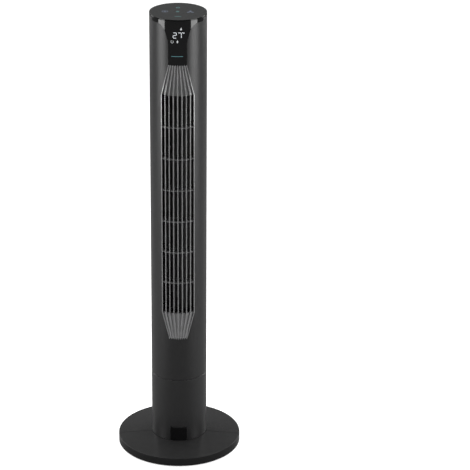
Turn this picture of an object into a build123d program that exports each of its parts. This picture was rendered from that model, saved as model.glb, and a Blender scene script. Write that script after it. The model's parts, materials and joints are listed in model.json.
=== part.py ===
from build123d import *
from math import acos, cos, pi, radians, sin, tan
import os

# Tower fan.  Millimetres, +Z up, origin on the floor at the centre of the base.
# The front, with the air outlet and the display, faces -Y.

# ---------------------------------------------------------------- driving dimensions
HEIGHT = 1090.0
BODY_R = 66.0
WALL = 2.5
BORE_R = BODY_R - WALL
GAP = 0.15                      # moulding clearance between fitted pieces
SCREW_R = 1.5
SCREW_HEAD_R = 3.0
SCREW_HOLE_R = SCREW_R + 0.1
RECESS_DEPTH = 1.2              # cross recess in a screw head
EDGE = 0.5                      # chamfer along the ends of the column and the tower

BASE_R = 147.0
BASE_LOW = 2.0
RIM_TOP = 21.5
BASE_TOP = 28.0
BASE_WALL = 3.0
BASE_SEAM_Y = -13.0
SEAM_GAP = 0.05                 # gap between the halves of the base and of the tower
GROOVE_WIDTH = 1.0              # groove along the base's seam
GROOVE_DEPTH = 1.2
FOOT_R = 9.0
FOOT_RING_R = 128.0
FOOT_COUNT = 8

COLUMN_TOP = 188.2
TOWER_LOW = 189.4
SHELL_TOP = 1085.2
PLATE_HALF = 20.0               # gloss plate at the foot of the column
PLATE_TOP = 65.0

OUTLET_LOW = 364.4
OUTLET_HIGH = 907.4
FLARE_LOW = 298.2
FLARE_HIGH = 982.6
FIN_COUNT = 9
FIN_SPAN = 34.7                 # degrees from the middle fin to the outermost
FIN_PITCH_END = 5.05            # fin spacing at the narrow end of each flare
FIN_WIDTH = 2.4
FIN_END_WIDTH = 1.8
FIN_DEPTH = 12.0
CROSSBAR_COUNT = 6
CROSSBAR_HEIGHT = 1.8

NECK_HALF = 21.1                # display window: half width of its straight neck
NECK_TOP = 1031.0
WING_LOW = 1078.2               # the window's side wings, just under the lid
WING_ANGLE = 61.5

SWING_TEETH = 40
PINION_TEETH = 14
MODULE = 1.5
PRESSURE_ANGLE = 25.0
BACKLASH = 0.3
GEAR_LOW = 169.0
GEAR_HIGH = 175.0

FAN_Y = 4.0                     # impeller axis, a little behind the tower's own axis
IMPELLER_R = 42.0
IMPELLER_LOW = 364.0
IMPELLER_HIGH = 908.0
BLADE_COUNT = 36
SEGMENTS = 7
SHAFT_R = 3.0
RUNNING = 0.06                  # radial clearance of a shaft in its bush

# ---------------------------------------------------------------- places worked out from them
HUB_R = 12.0
HUB_RUNNING_R = HUB_R - 0.08
COLUMN_FLOOR = BASE_TOP + 3.0
LEDGE_TOP = 178.0
LEDGE_R = 54.0
BEARING_TOP = 183.0
TABLE_LOW = 186.0
TABLE_TOP = 191.0
BALL_R = 2.5
BALL_Z = (BEARING_TOP + TABLE_LOW) / 2
BALL_RING_R = 52.0
BALL_COUNT = 16
JOINT_SCREW_R = 57.5            # ring of screws that closes each end of the swivel
PITCH_R = MODULE * SWING_TEETH / 2
PINION_R = MODULE * PINION_TEETH / 2
PINION_Y = PITCH_R + PINION_R
MOTOR_TOP = 349.0
MOTOR_LOW = 300.0
MOTOR_R = 40.0
MOTOR_PLATE = 352.0
BEARING_PLATE = 918.0
PLATE_THICK = 3.0
HEAD_FLOOR = 1062.0
HEAD_STEP = 1086.8
LID_LOW = HEIGHT - 1.8
HEAD_R = 60.5
FAN_AXIS = (0.0, FAN_Y)
SHELL_SCREWS = [(side * 55.5, z) for side in (-1, 1) for z in (235.0, 330.0, 960.0, 1035.0)]


# ---------------------------------------------------------------- shared shapes
def disc(radius, low, high, hole=0.0, at=(0.0, 0.0), mode=Mode.ADD):
    """Round plate or ring between two heights."""
    with BuildSketch(Plane.XY.offset(low)) as section:
        with Locations(at):
            Circle(radius)
            if hole:
                Circle(hole, mode=Mode.SUBTRACT)
    extrude(section.sketch, amount=high - low, mode=mode)


def discs(radius, low, high, places, mode=Mode.ADD):
    """The same round post or hole at several places."""
    for place in places:
        disc(radius, low, high, at=place, mode=mode)


def on_ring(radius, count, start=0.0):
    """Points evenly spaced round the vertical axis."""
    turns = [radians(start + 360.0 * i / count) for i in range(count)]
    return [(radius * cos(turn), radius * sin(turn)) for turn in turns]


def cross_marks(places):
    """Small upright crosses, the outline of the recess in a screw head."""
    with Locations(*places):
        Rectangle(3.6, 0.9)
        Rectangle(0.9, 3.6)


def screw(places, head_low, head_high, tip, mode=Mode.ADD, spare=0.0):
    """Upright screws: a round head between two heights and a shank to the tip."""
    discs(SCREW_HEAD_R + spare, head_low, head_high, places, mode)
    root = head_high if tip > head_high else head_low
    discs(SCREW_R + spare, min(root, tip), max(root, tip), places, mode)
    if mode == Mode.ADD:
        face = head_low if tip > head_high else head_high
        with BuildSketch(Plane.XY.offset(face - RECESS_DEPTH)) as recess:
            cross_marks(places)
        extrude(recess.sketch, amount=2 * RECESS_DEPTH, mode=Mode.SUBTRACT)


def mirrored(points):
    """Close a right-hand outline with its mirror image about the middle."""
    return points + [(-x, z) for x, z in reversed(points)]


def wrapped(face, outer, inner):
    """Front-facing piece of a tube wall, cut to a face drawn on the front plane."""
    box = face.bounding_box()
    with BuildPart() as panel:
        extrude(face, amount=BODY_R + 10)
        with BuildSketch(Plane.XY.offset(box.min.Z)):
            Circle(outer)
            Circle(inner, mode=Mode.SUBTRACT)
        extrude(amount=box.size.Z, mode=Mode.INTERSECT)
    return panel.part


def curved_panel(outline, outer, inner):
    """Piece of a tube wall with a straight-sided outline, seen from the front."""
    with BuildSketch(Plane.XZ) as front:
        Polygon(*outline, align=None)
    return wrapped(front.sketch, outer, inner)


def tooth_profile(teeth, outer, root):
    """One involute gear tooth on the +X axis."""
    pitch = MODULE * teeth / 2
    base = pitch * cos(radians(PRESSURE_ANGLE))
    half_pitch_tooth = (pi * MODULE / 2 - BACKLASH / 2) / (2 * pitch)
    swept = tan(radians(PRESSURE_ANGLE)) - radians(PRESSURE_ANGLE)

    def flank(radius, side):
        lean = acos(min(1.0, base / radius))
        half = half_pitch_tooth + swept - (tan(lean) - lean)
        return (radius * cos(half), side * radius * sin(half))

    start = max(base, root)
    radii = [start + (outer - start) * i / 4 for i in range(5)]
    right = [flank(radius, -1) for radius in radii]
    left = [flank(radius, 1) for radius in radii]
    inner = root - MODULE / 2
    with BuildSketch() as tooth:
        with BuildLine():
            Spline(*right)
            Line(right[-1], left[-1])
            Spline(*left)
            Polyline(left[0], (inner, left[0][1]), (inner, right[0][1]), right[0])
        make_face()
    return tooth.sketch


def gear(teeth, places):
    """Toothed wheel drawn between the gear heights; places lists its tooth angles."""
    pitch = MODULE * teeth / 2
    outer = pitch + 0.8 * MODULE
    root = pitch - 1.2 * MODULE
    tooth = tooth_profile(teeth, outer, root)
    with BuildPart() as wheel:
        with BuildSketch(Plane.XY.offset(GEAR_LOW)):
            Circle(root)
            for angle in places:
                add(tooth, rotation=angle)
        extrude(amount=GEAR_HIGH - GEAR_LOW)
    return wheel.part


# ---------------------------------------------------------------- outlines on the front
def on_body(angle):
    """Sideways distance of a point on the body at an angle from the front."""
    return BODY_R * sin(radians(angle))


FIN_ANGLES = [FIN_SPAN * (2 * i / (FIN_COUNT - 1) - 1) for i in range(FIN_COUNT)]
OUTLET_HALF = on_body(FIN_SPAN) + FIN_WIDTH / 2
FLARE_END_HALF = FIN_PITCH_END * (FIN_COUNT - 1) / 2 + FIN_END_WIDTH / 2


def outlet_outline(spare):
    """Opening of the air outlet with its two flares, grown sideways by spare."""
    return mirrored([
        (FLARE_END_HALF + spare, FLARE_LOW - spare),
        (OUTLET_HALF + spare, OUTLET_LOW),
        (OUTLET_HALF + spare, OUTLET_HIGH),
        (FLARE_END_HALF + spare, FLARE_HIGH),
    ])


def window_panel(spare, low, rise, outer, inner):
    """Trumpet-shaped display window: a straight neck that opens out under the lid."""
    bell = [(NECK_HALF, NECK_TOP), (on_body(22.0), 1049.0), (on_body(28.0), 1067.0)]
    bell += [(on_body(34.5), 1074.5), (on_body(43.0), WING_LOW + 0.3), (on_body(50.0), WING_LOW)]
    bell = [(x + spare, z - spare) for x, z in bell]
    side = on_body(WING_ANGLE) + spare
    neck = NECK_HALF + spare
    with BuildSketch(Plane.XZ) as front:
        with BuildLine():
            Line((neck, low), bell[0])
            Spline(*bell, tangents=[(0, 1), (1, 0)])
            Polyline(bell[-1], (side, WING_LOW - spare), (side, SHELL_TOP + rise), (0, SHELL_TOP + rise))
            mirror(about=Plane.YZ)
            Line((-neck, low), (neck, low))
        make_face()
    return wrapped(front.sketch, outer, inner)


outlet_space = curved_panel(outlet_outline(GAP), BODY_R + 5, BORE_R - 12)
outlet_pocket = curved_panel(outlet_outline(7.0), BORE_R, BORE_R - 12)
window_space = window_panel(GAP, FLARE_HIGH, 5.0, BODY_R + 5, BORE_R - 5)

# ================================================================ STAND
SEAM = Plane.XZ.offset(-BASE_SEAM_Y)
BASE_SCREWS = on_ring(42.0, 4, 45.0)
FEET = on_ring(FOOT_RING_R, FOOT_COUNT, 22.5)

with BuildPart() as seam_groove:
    with BuildSketch(Plane.XY):
        with Locations((0, BASE_SEAM_Y)):
            Rectangle(2 * BASE_R + 4, GROOVE_WIDTH)
    extrude(amount=BASE_TOP + 5)
    with BuildSketch(Plane.XZ) as below_groove:
        Polygon(
            (0, -1), (BASE_R - GROOVE_DEPTH, -1), (BASE_R - GROOVE_DEPTH, RIM_TOP - GROOVE_DEPTH),
            (BODY_R + 1, BASE_TOP - GROOVE_DEPTH), (0, BASE_TOP - GROOVE_DEPTH), align=None)
    revolve(below_groove.sketch, axis=Axis.Z, mode=Mode.SUBTRACT)


def base_half(keep):
    """Half of the round base: domed top, upright rim, ribs and foot bosses below."""
    with BuildPart() as half:
        with BuildSketch(Plane.XZ) as section:
            with BuildLine():
                Polyline(
                    (0, BASE_TOP), (BODY_R + 1, BASE_TOP), (BASE_R, RIM_TOP),
                    (BASE_R, BASE_LOW), (BASE_R - BASE_WALL, BASE_LOW),
                    (BASE_R - BASE_WALL, RIM_TOP - BASE_WALL),
                    (BODY_R + 1, BASE_TOP - BASE_WALL), (0, BASE_TOP - BASE_WALL), close=True,
                )
            make_face()
            fillet(section.vertices().group_by(Axis.X)[-1].sort_by(Axis.Y)[-1], radius=1.0)
        revolve(axis=Axis.Z)
        rib_top = RIM_TOP - BASE_WALL / 2
        with BuildSketch(Plane.XY.offset(BASE_LOW + 3)):
            for angle in range(0, 360, 30):
                with Locations(Rotation(0, 0, angle)):
                    with Locations((100.0, 0)):
                        Rectangle(90.0, 2.0)
            Circle(60.0)
            Circle(58.0, mode=Mode.SUBTRACT)
            with Locations((0, BASE_SEAM_Y)):
                Rectangle(2 * BASE_R - 8, 5.0)
        extrude(amount=rib_top - BASE_LOW - 3)
        disc(60.0, rib_top, BASE_TOP - 1, hole=58.0)
        discs(FOOT_R + 1, BASE_LOW, RIM_TOP - 1, FEET)
        discs(5.0, BASE_TOP - 8, BASE_TOP, BASE_SCREWS)
        screw(BASE_SCREWS, BASE_LOW, BASE_TOP - 4, BASE_TOP, mode=Mode.SUBTRACT, spare=0.1)
        with BuildSketch(Plane.XY):
            with Locations((0, BASE_SEAM_Y)):
                Rectangle(2 * BASE_R + 4, SEAM_GAP)
        extrude(amount=BASE_TOP + 5, mode=Mode.SUBTRACT)
        add(seam_groove.part, mode=Mode.SUBTRACT)
        split(bisect_by=SEAM, keep=keep)
    return half


base_front_half = base_half(Keep.TOP)
base_rear_half = base_half(Keep.BOTTOM)

with BuildPart() as base_feet:
    discs(FOOT_R, 0.0, BASE_LOW, FEET)
    chamfer(base_feet.edges().group_by(Axis.Z)[0], length=0.6)

with BuildPart() as base_screws:
    screw(BASE_SCREWS, BASE_TOP - 6.5, BASE_TOP - 4, COLUMN_FLOOR + 9)

plate_space = curved_panel(
    mirrored([(PLATE_HALF, BASE_TOP - 1), (PLATE_HALF, PLATE_TOP)]), BODY_R + 5, BORE_R + 0.5)
LEDGE_SCREWS = on_ring(JOINT_SCREW_R, 4, 45.0)
GLAND_Z = 47.0
GLAND_R = 6.0

with BuildPart() as pedestal_column:
    disc(BODY_R, BASE_TOP, COLUMN_TOP, hole=BORE_R)
    chamfer(pedestal_column.edges().group_by(Axis.Z)[-1].sort_by(SortBy.LENGTH)[-1], length=EDGE)
    chamfer(pedestal_column.edges().group_by(Axis.Z)[0].sort_by(SortBy.LENGTH)[-1], length=2 * EDGE)
    disc(BORE_R + 1, BASE_TOP, COLUMN_FLOOR)
    discs(5.0, COLUMN_FLOOR - 1, COLUMN_FLOOR + 11, BASE_SCREWS)
    discs(SCREW_HOLE_R, BASE_TOP, COLUMN_FLOOR + 12, BASE_SCREWS, mode=Mode.SUBTRACT)
    disc(BORE_R + 1, LEDGE_TOP - 4, LEDGE_TOP, hole=LEDGE_R)
    discs(3.5, LEDGE_TOP - 12, LEDGE_TOP, LEDGE_SCREWS)
    discs(SCREW_HOLE_R, LEDGE_TOP - 13, LEDGE_TOP, LEDGE_SCREWS, mode=Mode.SUBTRACT)
    add(plate_space, mode=Mode.SUBTRACT)
    with BuildSketch(Plane.XZ.offset(-50)):
        with Locations((0, GLAND_Z)):
            Circle(GLAND_R + 0.1)
    extrude(amount=-30, mode=Mode.SUBTRACT)

with BuildPart() as column_plate:
    add(curved_panel(
        mirrored([(PLATE_HALF - GAP, BASE_TOP + 0.1), (PLATE_HALF - GAP, PLATE_TOP - GAP)]),
        BODY_R + 0.4, BORE_R + 0.6))
    chamfer(column_plate.faces().sort_by(Axis.Y)[0].edges().filter_by(Axis.Z), length=0.3)

with BuildPart() as cord_gland:
    with BuildSketch(Plane.XZ.offset(-BODY_R)):
        with Locations((0, GLAND_Z)):
            Circle(GLAND_R + 2.5)
    extrude(amount=-2.5)
    with BuildSketch(Plane.XZ.offset(-BORE_R + 4)):
        with Locations((0, GLAND_Z)):
            Circle(GLAND_R)
    extrude(amount=-(WALL + 4))
    fillet(cord_gland.edges().filter_by(GeomType.CIRCLE).group_by(Axis.Y)[-1], radius=1.0)
    with BuildSketch(Plane.XZ.offset(-50)):
        with Locations((0, GLAND_Z)):
            Circle(3.7)
    extrude(amount=-25, mode=Mode.SUBTRACT)


def ball_track(radius, mode):
    """Ring-shaped groove that the bearing balls run in."""
    with BuildSketch(Plane.XZ) as section:
        with Locations((BALL_RING_R, BALL_Z)):
            Circle(radius)
    revolve(section.sketch, axis=Axis.Z, mode=mode)


with BuildPart() as bearing_plate:
    disc(BORE_R - GAP, LEDGE_TOP, BEARING_TOP)
    disc(HUB_R + 4, LEDGE_TOP - 2, LEDGE_TOP)
    disc(HUB_R, LEDGE_TOP - 3, BEARING_TOP, mode=Mode.SUBTRACT)
    screw(LEDGE_SCREWS, BEARING_TOP - 2.5, BEARING_TOP, LEDGE_TOP - 1, Mode.SUBTRACT, spare=0.1)
    ball_track(BALL_R + 0.1, Mode.SUBTRACT)

with BuildPart() as bearing_plate_screws:
    screw(LEDGE_SCREWS, BEARING_TOP - 2.5, BEARING_TOP - 0.1, LEDGE_TOP - 11)

BALLS = on_ring(BALL_RING_R, BALL_COUNT)
with BuildPart() as bearing_balls:
    with Locations(*[(x, y, BALL_Z) for x, y in BALLS]):
        Sphere(BALL_R)

with BuildPart() as ball_cage:
    disc(BALL_RING_R + 3.6, BALL_Z - 0.8, BALL_Z + 0.8, hole=BALL_RING_R - 3.6)
    discs(BALL_R + 0.1, BALL_Z - 1, BALL_Z + 1, BALLS, mode=Mode.SUBTRACT)

# Oscillation drive: a small geared motor under a bracket, its pinion in the swing gear.
DRIVE_AXIS = (0.0, PINION_Y)
BRACKET_LOW = 163.0
BRACKET_HIGH = 165.5
BRACKET_POSTS = [(-27.0, PINION_Y), (27.0, PINION_Y)]
DRIVE_R = 21.0
DRIVE_LOW = 146.0

with BuildPart() as drive_bracket:
    with BuildSketch(Plane.XY.offset(BRACKET_LOW)):
        with Locations(DRIVE_AXIS):
            SlotOverall(64.0, 10.0)
            Circle(17.0)
    extrude(amount=BRACKET_HIGH - BRACKET_LOW)
    discs(3.5, BRACKET_HIGH, LEDGE_TOP, BRACKET_POSTS)
    discs(SCREW_HOLE_R, BRACKET_LOW, LEDGE_TOP - 2, BRACKET_POSTS, mode=Mode.SUBTRACT)
    disc(6.5, BRACKET_LOW, BRACKET_HIGH, at=DRIVE_AXIS, mode=Mode.SUBTRACT)

with BuildPart() as drive_motor:
    disc(DRIVE_R, DRIVE_LOW, BRACKET_LOW, at=DRIVE_AXIS)
    fillet(drive_motor.edges().filter_by(GeomType.CIRCLE), radius=1.5)
    with BuildSketch(Plane.XY.offset(BRACKET_LOW - 1.2)):
        with Locations(DRIVE_AXIS):
            SlotOverall(62.0, 8.0)
    extrude(amount=1.2)
    disc(6.0, BRACKET_LOW, BRACKET_LOW + 1.5, at=DRIVE_AXIS)
    disc(2.6, BRACKET_LOW - 9, BRACKET_LOW + 2, at=DRIVE_AXIS, mode=Mode.SUBTRACT)
    discs(SCREW_HOLE_R, BRACKET_LOW - 2, BRACKET_LOW, BRACKET_POSTS, mode=Mode.SUBTRACT)

with BuildPart() as drive_motor_screws:
    screw(BRACKET_POSTS, BRACKET_LOW - 3.2, BRACKET_LOW - 1.2, LEDGE_TOP - 4)

# ================================================================ DRIVE PINION
PINION_STEP = 360.0 / PINION_TEETH
with BuildPart() as drive_pinion:
    with Locations((0, PINION_Y, 0)):
        add(gear(PINION_TEETH, [-90 + PINION_STEP * (i + 0.5) for i in range(PINION_TEETH)]))
    disc(4.5, BRACKET_HIGH + 0.5, GEAR_LOW, at=DRIVE_AXIS)
    disc(2.55, BRACKET_HIGH, GEAR_HIGH + 1, at=DRIVE_AXIS, mode=Mode.SUBTRACT)

with BuildPart() as drive_shaft:
    disc(2.5, BRACKET_LOW - 8, GEAR_HIGH + 1, at=DRIVE_AXIS)
    chamfer(drive_shaft.edges().filter_by(GeomType.CIRCLE), length=0.4)

# ================================================================ TOWER: swivel
with BuildPart() as turntable:
    disc(BORE_R - 0.5, TABLE_LOW, TABLE_TOP)
    disc(HUB_RUNNING_R, 160.0, TABLE_LOW)
    disc(7.0, 159.0, TABLE_TOP + 1, mode=Mode.SUBTRACT)
    ball_track(BALL_R + 0.3, Mode.SUBTRACT)
    screw(LEDGE_SCREWS, TABLE_LOW, TABLE_LOW + 2.5, TABLE_TOP, Mode.SUBTRACT, spare=0.1)

SWING_STEP = 360.0 / SWING_TEETH
with BuildPart() as swing_gear:
    add(gear(SWING_TEETH, [90 + SWING_STEP * i for i in range(-7, 8)]))
    disc(HUB_R, GEAR_LOW - 1, GEAR_HIGH + 1, mode=Mode.SUBTRACT)

with BuildPart() as hub_retainer:
    disc(HUB_R + 5, GEAR_LOW - 3.2, GEAR_LOW - 0.2, hole=HUB_R)
    fillet(hub_retainer.edges().filter_by(GeomType.CIRCLE).group_by(Axis.Z)[0], radius=0.6)

with BuildPart() as turntable_screws:
    screw(LEDGE_SCREWS, TABLE_LOW + 0.2, TABLE_LOW + 2.5, TABLE_TOP + 9)


# ================================================================ TOWER: shells
SHELL_SCREW_SEAT = 24.0
INTAKE_ROWS = 5
INTAKE_COLUMNS = 15
HANDLE_Z = 1000.0
HANDLE_W = 84.0
HANDLE_H = 34.0
HANDLE_DEPTH = 24.0

with BuildPart() as shell_bosses:
    with BuildSketch(Plane.XZ):
        with Locations(*SHELL_SCREWS):
            Circle(3.6)
    extrude(amount=35, both=True)
    disc(BORE_R + 1, TOWER_LOW, SHELL_TOP, mode=Mode.INTERSECT)


def shell_half(keep):
    """Half of the tower's tube, split at its sides, with the ledges and bosses inside."""
    with BuildPart() as half:
        disc(BODY_R, TOWER_LOW, SHELL_TOP, hole=BORE_R)
        chamfer(half.edges().group_by(Axis.Z)[0].sort_by(SortBy.LENGTH)[-1], length=EDGE)
        disc(BORE_R + 1, TABLE_TOP + 0.1, TABLE_TOP + 3, hole=LEDGE_R - 2)
        discs(4.0, TABLE_TOP + 1, TABLE_TOP + 11, LEDGE_SCREWS)
        discs(SCREW_HOLE_R, TABLE_TOP, TABLE_TOP + 12, LEDGE_SCREWS, mode=Mode.SUBTRACT)
        for low in (MOTOR_PLATE - 2.2, BEARING_PLATE - 2.2):
            disc(BORE_R + 1, low, low + 2, hole=BORE_R - 3)
        add(shell_bosses.part)
        with BuildSketch(Plane.XZ.offset(SHELL_SCREW_SEAT)):
            with Locations(*SHELL_SCREWS):
                Circle(SCREW_HOLE_R)
        extrude(amount=-2 * SHELL_SCREW_SEAT, mode=Mode.SUBTRACT)
        split(bisect_by=Plane.XZ, keep=keep)
    return half.part


front_half = shell_half(Keep.TOP)
rear_half = shell_half(Keep.BOTTOM)

with BuildPart() as front_shell:
    add(front_half)
    add(outlet_space, mode=Mode.SUBTRACT)
    add(outlet_pocket, mode=Mode.SUBTRACT)
    add(window_space, mode=Mode.SUBTRACT)
    with BuildSketch(Plane.XZ):
        Rectangle(3 * BODY_R, 3 * HEIGHT)
    extrude(amount=SEAM_GAP, mode=Mode.SUBTRACT)

INTAKE_HEIGHT = (OUTLET_HIGH - OUTLET_LOW) / INTAKE_ROWS
INTAKE_MIDDLE = (OUTLET_HIGH + OUTLET_LOW) / 2
INTAKE_PITCH = 6.6

with BuildPart() as rear_shell:
    add(rear_half)
    with BuildSketch(Plane.XZ.offset(-SHELL_SCREW_SEAT)):
        with Locations(*SHELL_SCREWS):
            Circle(SCREW_HEAD_R + 0.2)
    extrude(amount=-BODY_R, mode=Mode.SUBTRACT)
    with BuildSketch(Plane.XZ.offset(-30)):
        with Locations((0, INTAKE_MIDDLE)):
            with GridLocations(INTAKE_PITCH, INTAKE_HEIGHT, INTAKE_COLUMNS, INTAKE_ROWS):
                SlotOverall(INTAKE_HEIGHT - 9, 3.0, rotation=90)
    extrude(amount=-40, mode=Mode.SUBTRACT)
    with BuildSketch(Plane.XZ.offset(-30)):
        with Locations((0, HANDLE_Z)):
            RectangleRounded(HANDLE_W, HANDLE_H, 10)
    extrude(amount=-40, mode=Mode.SUBTRACT)

with BuildPart() as handle_cup:
    with BuildSketch(Plane.XZ.offset(-(BODY_R - HANDLE_DEPTH - 2))):
        with Locations((0, HANDLE_Z)):
            RectangleRounded(HANDLE_W - 0.3, HANDLE_H - 0.3, 9.8)
    extrude(amount=-(HANDLE_DEPTH + 4))
    disc(BODY_R, HANDLE_Z - HANDLE_H, HANDLE_Z + HANDLE_H, mode=Mode.INTERSECT)
    with BuildSketch(Plane.XZ.offset(-(BODY_R - HANDLE_DEPTH))):
        with Locations((0, HANDLE_Z)):
            RectangleRounded(HANDLE_W - 4.6, HANDLE_H - 4.6, 7.7)
    extrude(amount=-(HANDLE_DEPTH + 4), mode=Mode.SUBTRACT)

with BuildPart() as shell_screws:
    with BuildSketch(Plane.XZ.offset(-SHELL_SCREW_SEAT - 0.1)):
        with Locations(*SHELL_SCREWS):
            Circle(SCREW_HEAD_R)
    extrude(amount=-2.0)
    with BuildSketch(Plane.XZ.offset(-SHELL_SCREW_SEAT - 0.1)):
        with Locations(*SHELL_SCREWS):
            Circle(SCREW_R)
    extrude(amount=SHELL_SCREW_SEAT + 18)
    with BuildSketch(Plane.XZ.offset(-SHELL_SCREW_SEAT - 2.1 + RECESS_DEPTH)):
        cross_marks(SHELL_SCREWS)
    extrude(amount=-2 * RECESS_DEPTH, mode=Mode.SUBTRACT)


# ================================================================ TOWER: outlet grille
FIN_BACK_R = BODY_R - FIN_DEPTH
RAMP_WALL = 2.0
RAMP_SLOT = 2.4                 # open slot that the fin tips bridge at the narrow end
# Each flare: heights of its narrow and wide ends, and its ramp's depth below the surface at both.
LOWER_FLARE = (FLARE_LOW, OUTLET_LOW, 1.2, 3.4)
UPPER_FLARE = (FLARE_HIGH, OUTLET_HIGH, 2.0, 5.0)


def ramp(narrow_z, wide_z, lip, deep):
    """Sloping surface inside a flare: shallow at its narrow end, deeper at the outlet."""
    start_z = narrow_z + RAMP_SLOT if wide_z > narrow_z else narrow_z - RAMP_SLOT
    edge = mirrored([(FLARE_END_HALF - 0.5, start_z), (OUTLET_HALF - 1.0, wide_z)])
    with BuildPart() as slope:
        with BuildSketch(Plane.XZ):
            Polygon(*edge, align=None)
        extrude(amount=BODY_R + 10)
        with BuildSketch(Plane.XZ) as section:
            Polygon(
                (BODY_R - lip, start_z), (BODY_R - lip - RAMP_WALL, start_z),
                (BODY_R - deep - RAMP_WALL, wide_z), (BODY_R - deep, wide_z), align=None)
        revolve(section.sketch, axis=Axis.Z, mode=Mode.INTERSECT)
    return slope.part


def fin_outline(index):
    """One fin seen from the front: straight beside the outlet, slanting through both flares."""
    wide_x = on_body(FIN_ANGLES[index])
    narrow_x = FIN_PITCH_END * (index - (FIN_COUNT - 1) / 2)
    stations = [
        (narrow_x, FLARE_LOW, FIN_END_WIDTH), (wide_x, OUTLET_LOW, FIN_WIDTH),
        (wide_x, OUTLET_HIGH, FIN_WIDTH), (narrow_x, FLARE_HIGH, FIN_END_WIDTH),
    ]
    rising = [(x + width / 2, z) for x, z, width in stations]
    falling = [(x - width / 2, z) for x, z, width in reversed(stations)]
    return rising + falling


ramps = [ramp(*LOWER_FLARE), ramp(*UPPER_FLARE)]
grille_rim_outside = curved_panel(outlet_outline(6.0), BORE_R - 0.1, BORE_R - 2.1)
outlet_window = curved_panel(
    mirrored([(OUTLET_HALF, OUTLET_LOW), (OUTLET_HALF, OUTLET_HIGH)]), BODY_R + 5, BORE_R - 12)
CROSSBAR_PITCH = (OUTLET_HIGH - OUTLET_LOW) / (CROSSBAR_COUNT + 1)

with BuildPart() as outlet_bars:
    for i in range(1, CROSSBAR_COUNT + 1):
        middle = OUTLET_LOW + CROSSBAR_PITCH * i
        disc(BODY_R - 1.5, middle - CROSSBAR_HEIGHT / 2, middle + CROSSBAR_HEIGHT / 2, hole=FIN_BACK_R + 2)
    add(outlet_window, mode=Mode.INTERSECT)

with BuildPart() as front_grille:
    with BuildSketch(Plane.XZ):
        for index in range(FIN_COUNT):
            Polygon(*fin_outline(index), align=None)
    extrude(amount=BODY_R + 10)
    with BuildSketch(Plane.XZ) as fin_side:
        low_tip, low_root = [BODY_R - depth - RAMP_WALL / 2 for depth in LOWER_FLARE[2:]]
        high_tip, high_root = [BODY_R - depth - RAMP_WALL / 2 for depth in UPPER_FLARE[2:]]
        Polygon(
            (BODY_R, FLARE_LOW), (low_tip, FLARE_LOW), (low_root, OUTLET_LOW - 1),
            (FIN_BACK_R, OUTLET_LOW + 6), (FIN_BACK_R, OUTLET_HIGH - 6),
            (high_root, OUTLET_HIGH + 1), (high_tip, FLARE_HIGH), (BODY_R, FLARE_HIGH), align=None)
    revolve(fin_side.sketch, axis=Axis.Z, mode=Mode.INTERSECT)
    for piece in ramps:
        add(piece)
    add(outlet_bars.part)

with BuildPart() as grille_frame:
    add(grille_rim_outside)
    add(outlet_space, mode=Mode.SUBTRACT)

# ================================================================ TOWER: display
WINDOW_WALL = 2.0
DIGIT_W = 7.3
DIGIT_H = 12.5
STROKE = 1.25
SEGMENT_GAP = 0.25
DIGIT_Z = 1047.2
MARK_DEPTH = 0.8
SEGMENTS_ON = {"2": "abged", "7": "abc"}


def segment(corner, length, upright):
    """One bar of a seven-segment digit, pointed at both ends."""
    x, z = corner
    tip = STROKE / 2
    near = SEGMENT_GAP
    far = length - SEGMENT_GAP
    points = [(near, 0), (near + tip, tip), (far - tip, tip), (far, 0), (far - tip, -tip), (near + tip, -tip)]
    if upright:
        points = [(b, a) for a, b in points]
    Polygon(*[(x + a, z + b) for a, b in points], align=None)


def digit(symbol, left, low):
    """A seven-segment digit with its lower left corner at (left, low)."""
    half = DIGIT_H / 2
    places = {
        "a": ((left, low + DIGIT_H), False), "g": ((left, low + half), False),
        "d": ((left, low), False), "f": ((left, low + half), True),
        "b": ((left + DIGIT_W, low + half), True), "e": ((left, low), True),
        "c": ((left + DIGIT_W, low), True),
    }
    for name in SEGMENTS_ON[symbol]:
        corner, upright = places[name]
        segment(corner, half if upright else DIGIT_W, upright)


def window_marks(draw):
    """Marks let into the front of the display window, drawn on the front plane."""
    with BuildPart() as marks:
        with BuildSketch(Plane.XZ):
            draw()
        extrude(amount=BODY_R + 10)
        disc(BODY_R, FLARE_HIGH, SHELL_TOP, hole=BODY_R - MARK_DEPTH, mode=Mode.INTERSECT)
    return marks.part


def draw_digits():
    """Temperature digits, the degree ring and the letter of the unit."""
    digit("2", -9.7, DIGIT_Z)
    digit("7", 1.6, DIGIT_Z)
    with Locations((11.9, 1059.8)):
        Circle(1.0)
        Circle(0.5, mode=Mode.SUBTRACT)
    with Locations((14.6, 1058.9)):
        Circle(1.5)
        Circle(0.9, mode=Mode.SUBTRACT)
        with Locations((1.4, 0)):
            Rectangle(2.0, 1.2, mode=Mode.SUBTRACT)


def draw_status():
    """Three small status symbols: a timer ring, a diamond and a drop."""
    with Locations((-12.0, 1038.4)):
        Circle(3.3)
        Circle(2.4, mode=Mode.SUBTRACT)
        with Locations((0, 2.9)):
            Rectangle(2.0, 2.4, mode=Mode.SUBTRACT)
    with Locations((0.0, 1038.6)):
        Polygon((0, 3.8), (2.2, 0), (0, -3.8), (-2.2, 0), align=None)
    with Locations((8.0, 1068.4)):
        Polygon((0.8, 3.8), (2.3, -0.4), (0.9, -2.8), (-1.2, -2.8), (-2.3, -0.9), align=None)


def draw_stripe():
    """Plain coloured stripe low on the window."""
    with Locations((-0.7, 1003.7)):
        SlotOverall(27.0, 1.3)


digit_inlay = window_marks(draw_digits)
status_inlay = window_marks(draw_status)
accent_stripe = window_marks(draw_stripe)

with BuildPart() as display_window:
    add(window_panel(0.0, FLARE_HIGH + 0.2, 0.1, BODY_R, BODY_R - WINDOW_WALL))
    for inlay in (digit_inlay, status_inlay, accent_stripe):
        add(inlay, mode=Mode.SUBTRACT)

with BuildPart() as readout_digits:
    add(digit_inlay)

with BuildPart() as status_marks:
    add(status_inlay)

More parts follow.
